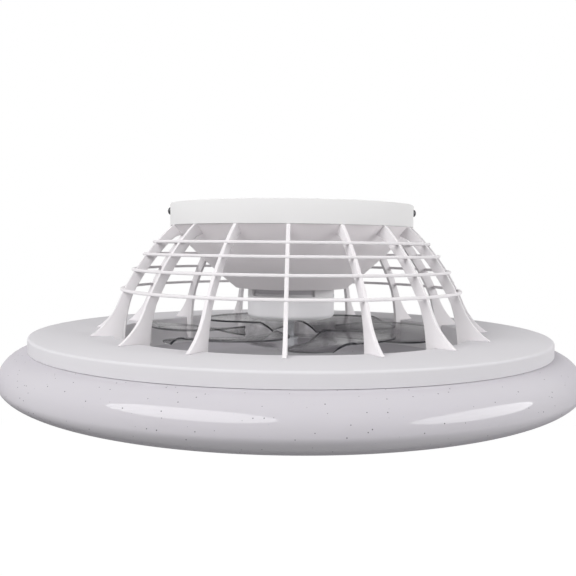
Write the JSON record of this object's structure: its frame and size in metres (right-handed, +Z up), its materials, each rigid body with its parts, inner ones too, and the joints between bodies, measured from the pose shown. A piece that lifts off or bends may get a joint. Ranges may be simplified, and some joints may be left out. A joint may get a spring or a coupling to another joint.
{
  "type": "caged ceiling fan light",
  "caption": "Flush ceiling fan light: a finned cage under a round canopy, a clear impeller in the air duct of a ring lamp with an opal diffuser.",
  "frame": {"origin": "centre of the ceiling face, on the upper side of the mounting bracket", "axes": "+Z up into the ceiling, the fan hangs below; +X along the bracket bar through the two side screws"},
  "size_m": [0.6, 0.6, 0.2011],
  "materials": {
    "white_metal": "semi-gloss white paint",
    "white_plastic": "satin moulded white plastic",
    "diffuser": "opal acrylic with fine glitter specks",
    "smoke_plastic": "clear smoke-tinted plastic",
    "grey_plastic": "grey moulded plastic",
    "steel": "zinc plated",
    "dark_steel": "dark plated",
    "brass": "plain",
    "copper": null,
    "lamination": "stacked electrical steel",
    "magnet": "bonded ferrite",
    "ivory_plastic": "moulded plastic",
    "rubber": "soft black rubber",
    "board": "white lacquered aluminium circuit board",
    "phosphor": "light chip",
    "aluminium": "die cast, turned"
  },
  "bodies": {
    "housing": {"mounting_bracket": "steel", "ground_screw": "brass", "canopy": "white_metal", "canopy_screws": "dark_steel", "terminal_block": "ivory_plastic", "driver_box": "ivory_plastic", "driver_lid": "ivory_plastic", "driver_screws": "steel", "wire_grommet": "rubber", "cage_cone": "white_plastic", "cone_screws": "steel", "cage_fins": "white_plastic", "cage_hoops": "white_plastic", "motor_collar": "grey_plastic", "motor_base": "aluminium", "motor_screws": "steel", "bearing_outer_races": "steel", "bearing_balls": "steel", "stator_core": "lamination", "stator_coils": "copper", "motor_cover": "white_plastic", "cover_screws": "steel", "lamp_tray": "white_metal", "cage_screws": "steel", "led_board": "board", "led_chips": "phosphor", "board_screws": "steel", "shade": "diffuser", "shade_clips": "steel", "clip_screws": "steel"},
    "rotor": {"bearing_inner_races": "steel", "rotor_bell": "steel", "magnet_ring": "magnet", "motor_shaft": "steel", "retaining_ring": "dark_steel", "impeller": "smoke_plastic", "impeller_nut": "steel", "hub_cap": "smoke_plastic"}
  },
  "joints": [
    {"name": "fan_spin", "type": "hinge", "parent": "housing", "child": "rotor", "pos_m": [0, 0, -0.11], "axis": [0, 0, 1], "continuous": true}
  ]
}
